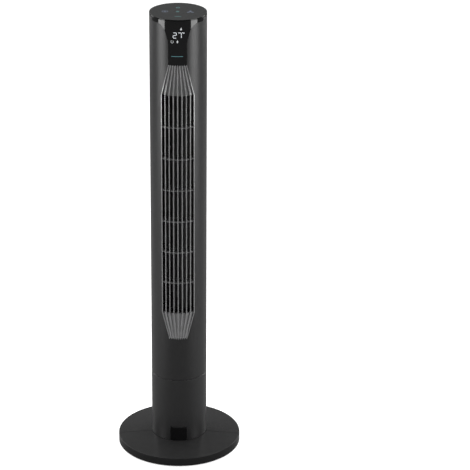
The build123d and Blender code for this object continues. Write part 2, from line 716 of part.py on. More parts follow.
with BuildPart() as stripe_mark:
    add(accent_stripe)

HOLDER_LOW = FLARE_HIGH + 8
with BuildPart() as display_holder:
    add(curved_panel(
        mirrored([(30.0, HOLDER_LOW), (30.0, SHELL_TOP - 1)]), BORE_R - 0.1, BORE_R - 1.8))
    with BuildSketch(Plane.XZ):
        with Locations((0, DIGIT_Z + DIGIT_H / 2)):
            Rectangle(34.0, 44.0)
    extrude(amount=BODY_R, mode=Mode.SUBTRACT)

BOARD_Y = -54.0
with BuildPart() as display_board:
    with BuildSketch(Plane.XZ.offset(-BOARD_Y - 1.6)):
        with Locations((0, DIGIT_Z + 6)):
            Rectangle(44.0, 26.0)
    extrude(amount=1.6)

with BuildPart() as led_module:
    with BuildSketch(Plane.XZ.offset(-BOARD_Y)):
        with Locations((0, DIGIT_Z + 6)):
            Rectangle(30.0, 22.0)
    extrude(amount=5.0)

# ================================================================ TOWER: head
HEAD_WALL = 2.0
LIP_R = HEAD_R - HEAD_WALL - 0.2
CONTROL_Z = 1076.0
POSTS = on_ring(46.0, 4, 45.0)
PADS = [(-30.0, -1.5), (28.0, -3.5), (-1.0, 27.5), (-1.0, -2.0), (0.5, -38.5)]

with BuildPart() as head_ring:
    disc(HEAD_R, HEAD_FLOOR, HEAD_STEP)
    disc(HEAD_R - HEAD_WALL, HEAD_FLOOR + 2, HEAD_STEP, mode=Mode.SUBTRACT)
    disc(BODY_R, SHELL_TOP + 0.2, HEAD_STEP, hole=HEAD_R - HEAD_WALL)
    disc(BODY_R - 1.6, HEAD_STEP - 1, LID_LOW - 0.1, hole=HEAD_R - HEAD_WALL)
    discs(3.2, HEAD_FLOOR + 1, CONTROL_Z, POSTS)
    disc(12.0, HEAD_FLOOR - 1, HEAD_FLOOR + 3, at=(0, 20), mode=Mode.SUBTRACT)
    with BuildSketch(Plane.XY.offset(HEAD_FLOOR - 1)):
        with Locations((0, -57)):
            Rectangle(60, 16)
    extrude(amount=SHELL_TOP - HEAD_FLOOR - 4, mode=Mode.SUBTRACT)

ICON_DEPTH = 0.6
LID_RIM = 0.9
with BuildPart() as touch_icons:
    with BuildSketch(Plane.XY.offset(HEIGHT - ICON_DEPTH)):
        with Locations(PADS[0]):
            Circle(7.2)
            Circle(5.6, mode=Mode.SUBTRACT)
            Circle(2.8)
        with Locations(PADS[1]):
            with PolarLocations(4.8, 3, 90):
                Ellipse(4.0, 2.5)
        with Locations(PADS[2]):
            Circle(4.4)
            Circle(3.0, mode=Mode.SUBTRACT)
            with Locations((0, 3.2)):
                Rectangle(1.6, 5.4)
        with Locations(PADS[3]):
            SlotOverall(9.0, 1.7)
            with Locations((0, 3.6), (0, -3.6)):
                SlotOverall(6.6, 1.7)
        with Locations(PADS[4]):
            SlotOverall(15.0, 2.2)
    extrude(amount=ICON_DEPTH)

with BuildPart() as lid:
    disc(BODY_R - 1.6, LID_LOW, HEIGHT)
    disc(BODY_R, HEIGHT - LID_RIM, HEIGHT)
    disc(LIP_R, HEAD_STEP - 2, LID_LOW, hole=LIP_R - 1.8)
    fillet(lid.edges().filter_by(GeomType.CIRCLE).group_by(Axis.Z)[-1], radius=0.4)
    add(touch_icons.part, mode=Mode.SUBTRACT)

with BuildPart() as control_board:
    disc(54.0, CONTROL_Z, CONTROL_Z + 1.6)
    discs(SCREW_HOLE_R, CONTROL_Z - 1, CONTROL_Z + 2, POSTS, mode=Mode.SUBTRACT)

with BuildPart() as touch_pads:
    discs(6.0, CONTROL_Z + 1.6, LID_LOW - 0.2, PADS)

with BuildPart() as control_chips:
    with BuildSketch(Plane.XY.offset(CONTROL_Z)):
        with Locations((18.0, 24.0), (-20.0, -22.0)):
            Rectangle(14.0, 10.0)
        with Locations((-24.0, 26.0)):
            Rectangle(8.0, 16.0)
    extrude(amount=-3.0)

# ================================================================ TOWER: air path
def cross_plate(low, hole):
    """Round partition across the tower, cut back behind the outlet grille."""
    disc(BORE_R - GAP, low, low + PLATE_THICK)
    disc(hole, low - 1, low + PLATE_THICK + 1, at=FAN_AXIS, mode=Mode.SUBTRACT)
    with BuildSketch(Plane.XY.offset(low - 1)) as front_cut:
        with Locations((0, -BODY_R)):
            Rectangle(96.0, 96.0)
        Circle(FIN_BACK_R - 3.5, mode=Mode.SUBTRACT)
    extrude(front_cut.sketch, amount=PLATE_THICK + 2, mode=Mode.SUBTRACT)
    discs(3.0, low - 1, low + PLATE_THICK + 1, [(-52.0, 20.0)], mode=Mode.SUBTRACT)


BEARING_CUP_R = 13.0            # rubber seat of the upper bearing
MOUNTS = [(30.0 * cos(radians(a)), FAN_Y + 30.0 * sin(radians(a))) for a in (90, 210, 330)]
with BuildPart() as motor_plate:
    cross_plate(MOTOR_PLATE, 10.0)
    discs(SCREW_HOLE_R, MOTOR_PLATE - 1, MOTOR_PLATE + 4, MOUNTS, mode=Mode.SUBTRACT)

with BuildPart() as bearing_bracket:
    cross_plate(BEARING_PLATE, BEARING_CUP_R - 2)
    disc(BEARING_CUP_R + 2, BEARING_PLATE + PLATE_THICK, BEARING_PLATE + 14, hole=BEARING_CUP_R - 2, at=FAN_AXIS)


def air_guide(points, thickness):
    """Upright curved wall beside the impeller, from the lower plate to the upper one."""
    with BuildPart() as guide:
        with BuildSketch(Plane.XY.offset(MOTOR_PLATE + PLATE_THICK)) as section:
            with BuildLine():
                Spline(*points)
            trace(line_width=thickness)
        extrude(section.sketch, amount=BEARING_PLATE - MOTOR_PLATE - PLATE_THICK)
    return guide


def around_fan(radius, angle):
    """Point at a distance and angle from the impeller axis."""
    return (radius * cos(radians(angle)), FAN_Y + radius * sin(radians(angle)))


SCROLL_START = 120.0
SCROLL_END = 226.0
SCROLL_CLEARANCE = 3.0
SCROLL_GROWTH = 9.0
scroll_path = []
for i in range(9):
    turn = i / 8
    reach = IMPELLER_R + SCROLL_CLEARANCE + SCROLL_GROWTH * turn
    scroll_path.append(around_fan(reach, SCROLL_START + (SCROLL_END - SCROLL_START) * turn))
scroll_wall = air_guide(scroll_path, 1.6)
stabiliser = air_guide(
    [around_fan(46.5, 2.0), around_fan(45.5, -12.0), around_fan(46.5, -26.0), around_fan(52.0, -43.0)], 1.6)

# ================================================================ TOWER: fan motor
with BuildPart() as motor_can:
    disc(MOTOR_R, MOTOR_LOW, MOTOR_TOP, at=FAN_AXIS)
    fillet(motor_can.edges().filter_by(GeomType.CIRCLE), radius=3.0)
    disc(MOTOR_R - 1.5, MOTOR_LOW + 1.5, MOTOR_TOP - 1.5, at=FAN_AXIS, mode=Mode.SUBTRACT)
    disc(8.0, MOTOR_TOP - 2, MOTOR_TOP + 1, at=FAN_AXIS, mode=Mode.SUBTRACT)
    disc(8.0, MOTOR_LOW - 1, MOTOR_LOW + 2, at=FAN_AXIS, mode=Mode.SUBTRACT)
    discs(SCREW_HOLE_R, MOTOR_TOP - 2, MOTOR_TOP + 1, MOUNTS, mode=Mode.SUBTRACT)
    vents = [around_fan(27.0, a) for a in range(0, 360, 30) if a % 120 != 90]
    discs(3.5, MOTOR_LOW - 1, MOTOR_LOW + 2, vents, mode=Mode.SUBTRACT)

with BuildPart() as motor_bushes:
    for low in (MOTOR_LOW - 2, MOTOR_TOP - 4):
        disc(7.9, low, low + 6, hole=SHAFT_R + RUNNING, at=FAN_AXIS)

STATOR_LOW = 312.0
STATOR_HIGH = 336.0
with BuildPart() as motor_stator:
    disc(MOTOR_R - 1.7, STATOR_LOW, STATOR_HIGH, hole=21.0, at=FAN_AXIS)
    with BuildSketch(Plane.XY.offset(STATOR_LOW - 1)):
        with Locations(FAN_AXIS):
            with PolarLocations(26.5, 12, 15):
                SlotOverall(15.0, 5.0)
    extrude(amount=STATOR_HIGH - STATOR_LOW + 2, mode=Mode.SUBTRACT)

with BuildPart() as motor_windings:
    for low in (STATOR_LOW - 5.0, STATOR_HIGH):
        disc(34.0, low, low + 5.0, hole=23.0, at=FAN_AXIS)
    fillet(motor_windings.edges().filter_by(GeomType.CIRCLE), radius=1.5)

with BuildPart() as motor_cushions:
    discs(6.0, MOTOR_TOP, MOTOR_PLATE, MOUNTS)
    discs(SCREW_HOLE_R, MOTOR_TOP - 1, MOTOR_PLATE + 1, MOUNTS, mode=Mode.SUBTRACT)

with BuildPart() as motor_screws:
    screw(MOUNTS, MOTOR_PLATE + PLATE_THICK, MOTOR_PLATE + PLATE_THICK + 2, MOTOR_TOP - 2)

with BuildPart() as bearing_rubber:
    disc(BEARING_CUP_R - 2.1, BEARING_PLATE + 0.5, BEARING_PLATE + 12, hole=6.0, at=FAN_AXIS)

with BuildPart() as top_bush:
    disc(5.9, BEARING_PLATE - 1, BEARING_PLATE + 13, hole=SHAFT_R + RUNNING, at=FAN_AXIS)

# ================================================================ TOWER: power board
POWER_Y = 40.0
POWER_Z = 248.0
POWER_POSTS = [(side * 34.0, POWER_Z + rise) for side in (-1, 1) for rise in (-36.0, 36.0)]
with BuildPart() as power_board:
    with BuildSketch(Plane.XZ.offset(-POWER_Y)):
        with Locations((0, POWER_Z)):
            Rectangle(78.0, 82.0)
        with Locations(*POWER_POSTS):
            Circle(SCREW_HOLE_R, mode=Mode.SUBTRACT)
    extrude(amount=1.6)

with BuildPart() as board_posts:
    with BuildSketch(Plane.XZ.offset(-POWER_Y)):
        with Locations(*POWER_POSTS):
            Circle(3.0)
    extrude(amount=-30)
    disc(BORE_R - 0.05, POWER_Z - 50, POWER_Z + 50, mode=Mode.INTERSECT)

with BuildPart() as board_components:
    with BuildSketch(Plane.XZ.offset(-POWER_Y + 1.6)):
        with Locations((-16.0, POWER_Z - 14)):
            Rectangle(28.0, 32.0)
        with Locations((18.0, POWER_Z + 18)):
            Circle(9.0)
        with Locations((18.0, POWER_Z - 16)):
            Rectangle(16.0, 12.0)
        with Locations((-18.0, POWER_Z + 22)):
            Rectangle(20.0, 10.0)
    extrude(amount=14.0)

# ================================================================ IMPELLER
with BuildPart() as impeller:
    with BuildSketch(Plane.XY.offset(IMPELLER_LOW)) as blades:
        with Locations(FAN_AXIS):
            with PolarLocations(0, BLADE_COUNT):
                with BuildLine(mode=Mode.PRIVATE) as camber:
                    ThreePointArc((IMPELLER_R - 9.5, 0), (IMPELLER_R - 4.8, 3.2), (IMPELLER_R - 1.8, 8.4))
                SlotArc(camber.edge(), 1.1)
    extrude(amount=IMPELLER_HIGH - IMPELLER_LOW)
    pitch = (IMPELLER_HIGH - IMPELLER_LOW - 2.0) / SEGMENTS
    for i in range(SEGMENTS + 1):
        low = IMPELLER_LOW + i * pitch
        ends = i in (0, SEGMENTS)
        disc(IMPELLER_R, low, low + 2.0, hole=0.0 if ends else IMPELLER_R - 13, at=FAN_AXIS)
    disc(9.0, IMPELLER_LOW - 8, IMPELLER_LOW + 10, at=FAN_AXIS)
    disc(8.0, IMPELLER_HIGH - 12, IMPELLER_HIGH + 4, at=FAN_AXIS)
    disc(SHAFT_R, IMPELLER_LOW - 10, IMPELLER_LOW + 8, at=FAN_AXIS, mode=Mode.SUBTRACT)
    disc(SHAFT_R, IMPELLER_HIGH - 10, IMPELLER_HIGH + 8, at=FAN_AXIS, mode=Mode.SUBTRACT)

with BuildPart() as motor_shaft:
    disc(SHAFT_R, MOTOR_LOW - 6, IMPELLER_LOW + 8, at=FAN_AXIS)
    chamfer(motor_shaft.edges().filter_by(GeomType.CIRCLE), length=0.4)

with BuildPart() as impeller_pin:
    disc(SHAFT_R, IMPELLER_HIGH - 10, BEARING_PLATE + 15, at=FAN_AXIS)
    chamfer(impeller_pin.edges().filter_by(GeomType.CIRCLE), length=0.4)

with BuildPart() as motor_rotor:
    disc(20.5, STATOR_LOW, STATOR_HIGH, hole=SHAFT_R, at=FAN_AXIS)
    fillet(motor_rotor.edges().filter_by(GeomType.CIRCLE), radius=0.5)

# ================================================================ export
pieces = {
    "base_front_half": base_front_half, "base_rear_half": base_rear_half,
    "base_feet": base_feet, "base_screws": base_screws,
    "pedestal_column": pedestal_column, "column_plate": column_plate,
    "cord_gland": cord_gland, "bearing_plate": bearing_plate,
    "bearing_plate_screws": bearing_plate_screws, "bearing_balls": bearing_balls,
    "ball_cage": ball_cage, "drive_bracket": drive_bracket, "drive_motor": drive_motor,
    "drive_motor_screws": drive_motor_screws, "drive_pinion": drive_pinion,
    "drive_shaft": drive_shaft, "turntable": turntable, "swing_gear": swing_gear,
    "hub_retainer": hub_retainer, "turntable_screws": turntable_screws,
    "front_shell": front_shell, "rear_shell": rear_shell, "handle_cup": handle_cup,
    "shell_screws": shell_screws, "front_grille": front_grille, "grille_frame": grille_frame,
    "display_window": display_window, "readout_digits": readout_digits, "status_marks": status_marks,
    "stripe_mark": stripe_mark, "display_holder": display_holder,
    "display_board": display_board, "led_module": led_module, "head_ring": head_ring,
    "lid": lid, "touch_icons": touch_icons, "control_board": control_board,
    "touch_pads": touch_pads, "control_chips": control_chips, "motor_plate": motor_plate,
    "bearing_bracket": bearing_bracket, "scroll_wall": scroll_wall, "stabiliser": stabiliser,
    "motor_can": motor_can, "motor_bushes": motor_bushes, "motor_stator": motor_stator,
    "motor_windings": motor_windings, "motor_cushions": motor_cushions,
    "motor_screws": motor_screws, "bearing_rubber": bearing_rubber, "top_bush": top_bush,
    "power_board": power_board, "board_posts": board_posts,
    "board_components": board_components, "impeller": impeller, "motor_shaft": motor_shaft,
    "impeller_pin": impeller_pin, "motor_rotor": motor_rotor,
}
os.makedirs("parts", exist_ok=True)
for name, piece in pieces.items():
    piece.part.label = name
    export_step(piece.part, f"parts/{name}.step")
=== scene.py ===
"""Looks of the tower fan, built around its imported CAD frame. Metres, +Z up, front towards -Y."""
import json
import math

import bmesh
import bpy
from mathutils import Matrix, Vector


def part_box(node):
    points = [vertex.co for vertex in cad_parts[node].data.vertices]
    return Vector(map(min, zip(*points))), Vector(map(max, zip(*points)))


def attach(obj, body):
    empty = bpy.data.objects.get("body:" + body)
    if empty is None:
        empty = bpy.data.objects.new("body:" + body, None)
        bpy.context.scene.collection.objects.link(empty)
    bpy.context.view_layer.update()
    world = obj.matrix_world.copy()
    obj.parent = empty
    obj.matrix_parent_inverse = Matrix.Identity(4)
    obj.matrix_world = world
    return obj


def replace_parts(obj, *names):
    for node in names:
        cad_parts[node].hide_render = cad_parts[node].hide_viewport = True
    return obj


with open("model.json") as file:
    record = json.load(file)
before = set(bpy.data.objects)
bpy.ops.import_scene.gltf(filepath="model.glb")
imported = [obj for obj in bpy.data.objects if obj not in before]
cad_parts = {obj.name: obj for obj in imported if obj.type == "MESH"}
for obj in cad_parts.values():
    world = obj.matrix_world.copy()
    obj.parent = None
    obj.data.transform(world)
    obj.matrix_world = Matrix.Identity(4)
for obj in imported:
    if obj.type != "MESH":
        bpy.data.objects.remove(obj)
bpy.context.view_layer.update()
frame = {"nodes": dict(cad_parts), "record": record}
nodes = frame["nodes"]
scene = bpy.context.scene
MM = 0.001

# ---------------------------------------------------------------- camera
LENS = 179.75                     # mm, on a 36 mm sensor
SENSOR = 36.0
FAR_CLIP = 100.0
CAMERA_AT = Vector((0.1328, -5.1062, 2.6837))
PITCH = math.radians(22.77)
ROLL = math.radians(0.415)

forward = Vector((0, math.cos(PITCH), -math.sin(PITCH)))
level_right = Vector((1, 0, 0))
level_up = Vector((0, math.sin(PITCH), math.cos(PITCH)))
right = level_right * math.cos(ROLL) + level_up * math.sin(ROLL)
up = level_up * math.cos(ROLL) - level_right * math.sin(ROLL)
camera = bpy.data.objects.new("camera", bpy.data.cameras.new("camera"))
scene.collection.objects.link(camera)
camera.data.sensor_width = SENSOR
camera.data.lens = LENS
camera.data.clip_end = FAR_CLIP
camera.matrix_world = Matrix.Translation(CAMERA_AT) @ Matrix((
    (right.x, up.x, -forward.x, 0),
    (right.y, up.y, -forward.y, 0),
    (right.z, up.z, -forward.z, 0),
    (0, 0, 0, 1),
))
scene.camera = camera
scene.view_settings.view_transform = "Standard"
scene.view_settings.look = "None"


# ---------------------------------------------------------------- material helpers
class Shader:
    """A node material with one Principled shader and short names for adding nodes."""

    def __init__(self, name, **settings):
        self.material = bpy.data.materials.new(name)
        self.material.use_nodes = True
        self.tree = self.material.node_tree
        self.principled = self.tree.nodes["Principled BSDF"]
        for socket, value in settings.items():
            self.principled.inputs[socket.replace("_", " ")].default_value = value

    def node(self, kind, **settings):
        made = self.tree.nodes.new(kind)
        for key, value in settings.items():
            setattr(made, key, value)
        return made

    def link(self, source, target):
        self.tree.links.new(source, target)

    def place(self, stretch=(1, 1, 1)):
        """Object coordinates in metres, stretched along each axis."""
        coordinates = self.node("ShaderNodeTexCoord")
        mapping = self.node("ShaderNodeMapping")
        mapping.inputs["Scale"].default_value = stretch
        self.link(coordinates.outputs["Object"], mapping.inputs["Vector"])
        return mapping.outputs["Vector"]

    def noise(self, size, detail=3.0, stretch=(1, 1, 1)):
        """Noise whose features are about size metres across, from 0 to 1."""
        texture = self.node("ShaderNodeTexNoise")
        texture.inputs["Scale"].default_value = 1.0 / size
        texture.inputs["Detail"].default_value = detail
        self.link(self.place(stretch), texture.inputs["Vector"])
        return texture.outputs["Fac"]

    def along(self, axis):
        """One object coordinate in metres, as a number."""
        split = self.node("ShaderNodeSeparateXYZ")
        self.link(self.place(), split.inputs["Vector"])
        return split.outputs[axis]

    def maths(self, operation, first, second=0.0):
        """One arithmetic step on a socket, with a number or another socket."""
        step = self.node("ShaderNodeMath", operation=operation)
        self.link(first, step.inputs[0])
        if isinstance(second, (int, float)):
            step.inputs[1].default_value = second
        else:
            self.link(second, step.inputs[1])
        return step.outputs["Value"]

    def spread(self, source, low, high, start=0.3, end=0.7):
        """A number map from start..end to low..high."""
        ranged = self.node("ShaderNodeMapRange")
        for key, value in (("From Min", start), ("From Max", end), ("To Min", low), ("To Max", high)):
            ranged.inputs[key].default_value = value
        self.link(source, ranged.inputs["Value"])
        return ranged.outputs["Result"]

    def tint(self, source, dark, light, start=0.3, end=0.7):
        """Colour that runs from dark to light as source rises."""
        ramp = self.node("ShaderNodeValToRGB")
        ramp.color_ramp.elements[0].position = start
        ramp.color_ramp.elements[1].position = end
        ramp.color_ramp.elements[0].color = (*dark, 1)
        ramp.color_ramp.elements[1].color = (*light, 1)
        self.link(source, ramp.inputs["Fac"])
        return ramp.outputs["Color"]

    def bump(self, source, depth):
        """Relief of the given depth in metres."""
        relief = self.node("ShaderNodeBump")
        relief.inputs["Distance"].default_value = depth
        self.link(source, relief.inputs["Height"])
        self.link(relief.outputs["Normal"], self.principled.inputs["Normal"])

    def feed(self, socket, source):
        self.link(source, self.principled.inputs[socket])


def scaled(colour, factor):
    return tuple(channel * factor for channel in colour)


# ---------------------------------------------------------------- materials
SHEET_PITCH = 0.5 * MM
WIRE_PITCH = 0.45 * MM
TRACKS_PER_METRE = 220.0
SIDE_ICONS_FROM = 15 * MM         # the lid's side symbols start this far from its middle
SMOOTH_BELOW = math.radians(32)


def moulded_plastic(name, colour, roughness, grain=0.00035, relief=0.000012, specular=0.5):
    """Moulded plastic with a fine spark-eroded grain and slight unevenness of tone and gloss."""
    made = Shader(name, Specular_IOR_Level=specular)
    made.feed("Base Color", made.tint(made.noise(0.02, 4), scaled(colour, 0.93), scaled(colour, 1.07)))
    made.feed("Roughness", made.spread(made.noise(0.006, 3), roughness - 0.03, roughness + 0.03))
    made.bump(made.noise(grain, 2), relief)
    return made.material


def polished_plastic(name, colour, roughness, specular):
    """Polished plastic with faint handling smears in its gloss."""
    made = Shader(name, Specular_IOR_Level=specular)
    made.feed("Base Color", made.tint(made.noise(0.03, 2), scaled(colour, 0.9), scaled(colour, 1.1)))
    made.feed("Roughness", made.spread(made.noise(0.012, 5), roughness, roughness + 0.04))
    made.bump(made.noise(0.02, 2), 0.000004)
    return made.material


def rubber_compound(name, colour):
    """Soft black rubber with a powdery bloom."""
    made = Shader(name, Specular_IOR_Level=0.25)
    made.feed("Base Color", made.tint(made.noise(0.003, 6), scaled(colour, 0.8), scaled(colour, 1.5)))
    made.feed("Roughness", made.spread(made.noise(0.002, 3), 0.72, 0.85))
    made.bump(made.noise(0.0006, 3), 0.00003)
    return made.material


def metal(name, colour, roughness, stretch=(1, 1, 1)):
    """Bare or plated metal with fine drawn lines."""
    made = Shader(name, Metallic=1.0)
    made.feed("Base Color", made.tint(made.noise(0.004, 3), scaled(colour, 0.85), scaled(colour, 1.1)))
    made.feed("Roughness", made.spread(made.noise(0.0012, 4, stretch), roughness - 0.08, roughness + 0.1))
    made.bump(made.noise(0.0006, 2, stretch), 0.00001)
    return made.material


def laminated_steel(name):
    """Stack of stamped sheets, seen as fine rings on its side."""
    made = Shader(name, Metallic=0.9)
    sheets = made.maths("FRACT", made.maths("MULTIPLY", made.along("Z"), 1 / SHEET_PITCH))
    made.feed("Base Color", made.tint(sheets, (0.10, 0.10, 0.11), (0.34, 0.35, 0.37), 0.05, 0.25))
    made.feed("Roughness", made.spread(made.noise(0.003, 3), 0.35, 0.55))
    made.bump(sheets, 0.00004)
    return made.material


def wound_copper(name):
    """Enamelled copper wire in coils, its turns seen as fine ridges, each turn darker at its edge with
    painted shade in the groove between turns.
    """
    made = Shader(name, Metallic=0.8, Coat_Weight=0.4)
    turns = made.maths("FRACT", made.maths("MULTIPLY", made.along("Z"), 1 / WIRE_PITCH))
    # Dark at the start of each turn: painted shade in the groove between the wires.
    made.feed("Base Color", made.tint(turns, (0.20, 0.06, 0.02), (0.68, 0.27, 0.11), 0.0, 0.6))
    made.feed("Roughness", made.spread(made.noise(0.004, 3), 0.25, 0.4))
    made.bump(turns, 0.00006)
    return made.material


def printed_board(name):
    """Green solder mask with slightly raised tracks."""
    made = Shader(name, Coat_Weight=0.3)
    tracks = made.node("ShaderNodeTexBrick")
    tracks.inputs["Scale"].default_value = TRACKS_PER_METRE
    tracks.inputs["Mortar Size"].default_value = 0.012
    made.link(made.place(), tracks.inputs["Vector"])
    mask = made.tint(tracks.outputs["Fac"], (0.006, 0.060, 0.022), (0.012, 0.11, 0.04), 0.4, 0.6)
    made.feed("Base Color", mask)
    made.feed("Roughness", made.spread(made.noise(0.01, 3), 0.3, 0.4))
    made.bump(tracks.outputs["Fac"], 0.00003)
    return made.material


def scaled_glow(made, glow):
    """The unlit colour of a light guide: a dull version of its glow."""
    dim = made.node("ShaderNodeMix", data_type="RGBA", blend_type="MULTIPLY")
    dim.inputs["Factor"].default_value = 1.0
    dim.inputs["B"].default_value = (0.2, 0.2, 0.2, 1)
    made.link(glow, dim.inputs["A"])
    return dim.outputs["Result"]


def lit(name, colour, strength):
    """Light guide glowing through the window, a little uneven across its face."""
    made = Shader(name, Roughness=0.3, Emission_Strength=strength)
    glow = made.tint(made.noise(0.0015, 1), scaled(colour, 0.88), colour)
    made.feed("Base Color", scaled_glow(made, glow))
    made.feed("Emission Color", glow)
    return made.material


def touch_icon(name, middle, sides, sides_from, strength):
    """Backlit touch symbols: one colour in the middle column, another to each side."""
    made = Shader(name, Roughness=0.4, Specular_IOR_Level=0.3, Emission_Strength=strength)
    across = made.maths("ABSOLUTE", made.along("X"))
    outer = made.maths("GREATER_THAN", across, sides_from)
    glow = made.tint(outer, middle, sides)
    made.feed("Base Color", scaled_glow(made, glow))
    made.feed("Emission Color", glow)
    return made.material


MATERIALS = {
    "body_plastic": moulded_plastic("body_plastic", (0.0145, 0.0145, 0.0149), 0.38, specular=0.47),
    "base_plastic": moulded_plastic(
        "base_plastic", (0.0165, 0.0165, 0.0167), 0.20, relief=0.000006, specular=0.12
    ),
    "gloss_black": polished_plastic("gloss_black", (0.0055, 0.0055, 0.0057), 0.05, 0.5),
    "lid_plastic": moulded_plastic("lid_plastic", (0.0155, 0.0162, 0.0162), 0.34, 0.0005, 0.000004, 0.1),
    "grille_grey": moulded_plastic("grille_grey", (0.24, 0.24, 0.243), 0.15, specular=1.0),
    # The inner black plastic is given a mid-grey tone: painted fill light, so the shaded gaps behind the fins
    # and slots come out lighter than the light reaching them would make them.
    "inner_black": moulded_plastic("inner_black", (0.15, 0.15, 0.152), 0.5, specular=0.4),
    "white_lit": lit("white_lit", (0.92, 0.96, 1.0), 0.95),
    "dim_lit": lit("dim_lit", (0.66, 0.68, 0.69), 0.8),
    "teal_mark": lit("teal_mark", (0.10, 0.24, 0.26), 0.8),
    "icon_lit": touch_icon(
        "icon_lit", (0.06, 0.16, 0.16), (0.082, 0.098, 0.137), SIDE_ICONS_FROM, 1.0
    ),
    "rubber": rubber_compound("rubber", (0.014, 0.014, 0.014)),
    "steel": metal("steel", (0.62, 0.62, 0.63), 0.3),
    "zinc_plate": metal("zinc_plate", (0.52, 0.53, 0.55), 0.42),
    "circuit_board": printed_board("circuit_board"),
    "components": moulded_plastic("components", (0.02, 0.02, 0.022), 0.5),
    "gear_plastic": moulded_plastic("gear_plastic", (0.75, 0.75, 0.70), 0.35),
    "copper": wound_copper("copper"),
    "bronze": metal("bronze", (0.55, 0.38, 0.16), 0.45),
    "laminations": laminated_steel("laminations"),
}
slot_of = {part["node"]: part["material_slot"] for part in frame["record"]["subparts"]}
slot_of["handle_cup"] = "components"    # the grip's hollow takes the plain dark plastic, not the inner plastic lightened with painted fill light
for name, thing in nodes.items():
    thing.data.materials.clear()
    thing.data.materials.append(MATERIALS[slot_of[name]])
    thing.data.shade_smooth()
    thing.data.set_sharp_from_angle(angle=SMOOTH_BELOW)


# ---------------------------------------------------------------- outlet grille
BODY_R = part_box("front_shell")[1][0]
FIN_COUNT = 9
FIN_SPAN = math.radians(34.7)
FIN_WIDTH = 2.4 * MM
FIN_TIP_WIDTH = 1.8 * MM
FIN_TIP_PITCH = 5.05 * MM
FIN_BACK_R = BODY_R - 12 * MM
FIN_CORNER = 0.5 * MM
CORNER_STEPS = 4
FLARE_STEPS = 6
FIN_ROOT_RISE = 6 * MM            # the fins reach their full depth this far inside the outlet
FLARE_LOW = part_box("front_grille")[0][2]
FLARE_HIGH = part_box("front_grille")[1][2]
OUTLET_LOW = 364.4 * MM
OUTLET_HIGH = 907.4 * MM
OUTLET_HALF = BODY_R * math.sin(FIN_SPAN) + FIN_WIDTH / 2
# Each flare: height of its tips, height of its wide end, and its ramp's radius at both.
LOWER_FLARE = (FLARE_LOW, OUTLET_LOW, BODY_R - 1.2 * MM, BODY_R - 3.4 * MM)
UPPER_FLARE = (FLARE_HIGH, OUTLET_HIGH, BODY_R - 2 * MM, BODY_R - 5 * MM)
RAMP_WALL = 2 * MM
RAMP_SLOT = 2.4 * MM              # free height between the fins' tips and the ramp's start
RAMP_COLUMNS = 16
RAMP_TIP_INSET = 0.5 * MM
RAMP_WIDE_INSET = 1 * MM
CROSSBAR_COUNT = 6
CROSSBAR_HALF = 0.9 * MM
CROSSBAR_FRONT_R = BODY_R - 1.5 * MM
CROSSBAR_BACK_R = FIN_BACK_R + 2 * MM
CROSSBAR_INSET = 0.5 * MM
CROSSBAR_COLUMNS = 24
NOSE_STEPS = 4


def between(low, high, part):
    return low + (high - low) * part


def surface_y(x, radius):
    """Front of an upright cylinder at a sideways place."""
    return -math.sqrt(radius * radius - x * x)


def loft(mesh, loops):
    """Closed skin through rings of the same number of points, with a flat cap at each end."""
    rings = [[mesh.verts.new(point) for point in loop] for loop in loops]
    count = len(rings[0])
    for one, other in zip(rings, rings[1:]):
        for i in range(count):
            j = (i + 1) % count
            mesh.faces.new((one[i], one[j], other[j], other[i]))
    mesh.faces.new(list(reversed(rings[0])))
    mesh.faces.new(rings[-1])


def fin_ring(x, z, width, back_r):
    """Level section of a fin: a front flush with the tower between two rounded corners, and a square back."""
    flat = width / 2 - FIN_CORNER
    front = []
    for side in (-1, 1):
        for step in range(CORNER_STEPS + 1):
            turn = math.pi / 2 * (step if side < 0 else CORNER_STEPS - step) / CORNER_STEPS
            across = x + side * (flat + FIN_CORNER * math.cos(turn))
            front.append((across, surface_y(across, BODY_R) + FIN_CORNER * (1 - math.sin(turn)), z))
    back_y = surface_y(x, back_r)
    return [(x - width / 2, back_y, z)] + front + [(x + width / 2, back_y, z)]


def fin(mesh, index):
    """One fin: straight beside the outlet and slanting through both flares."""
    outermost = (FIN_COUNT - 1) / 2
    place = index - outermost
    wide_x = BODY_R * math.sin(FIN_SPAN * place / outermost)
    narrow_x = FIN_TIP_PITCH * place
    rings = []
    for tip_z, wide_z, lip_r, deep_r in (LOWER_FLARE, UPPER_FLARE):
        flare = []
        for step in range(FLARE_STEPS + 1):
            part = step / FLARE_STEPS
            back_r = between(lip_r, deep_r, part) - RAMP_WALL / 2
            width = between(FIN_TIP_WIDTH, FIN_WIDTH, part)
            x = between(narrow_x, wide_x, part)
            flare.append(fin_ring(x, between(tip_z, wide_z, part), width, back_r))
        inward = math.copysign(FIN_ROOT_RISE, wide_z - tip_z)
        flare.append(fin_ring(wide_x, wide_z + inward, FIN_WIDTH, FIN_BACK_R))
        rings += flare if wide_z > tip_z else list(reversed(flare))
    loft(mesh, rings)


def ramp(mesh, tip_z, wide_z, lip_r, deep_r):
    """Sloping floor of a flare, following the round of the tower."""
    start_z = tip_z + math.copysign(RAMP_SLOT, wide_z - tip_z)
    tip_half = FIN_TIP_PITCH * (FIN_COUNT - 1) / 2 + FIN_TIP_WIDTH / 2 - RAMP_TIP_INSET
    columns = [2 * i / RAMP_COLUMNS - 1 for i in range(RAMP_COLUMNS + 1)]
    rings = []
    for step in range(FLARE_STEPS + 1):
        part = step / FLARE_STEPS
        half = between(tip_half, OUTLET_HALF - RAMP_WIDE_INSET, part)
        front_r = between(lip_r, deep_r, part)
        z = between(start_z, wide_z, part)
        front = [(half * c, surface_y(half * c, front_r), z) for c in columns]
        back = [(half * c, surface_y(half * c, front_r - RAMP_WALL), z) for c in reversed(columns)]
        rings.append(front + back)
    loft(mesh, rings if wide_z > tip_z else list(reversed(rings)))


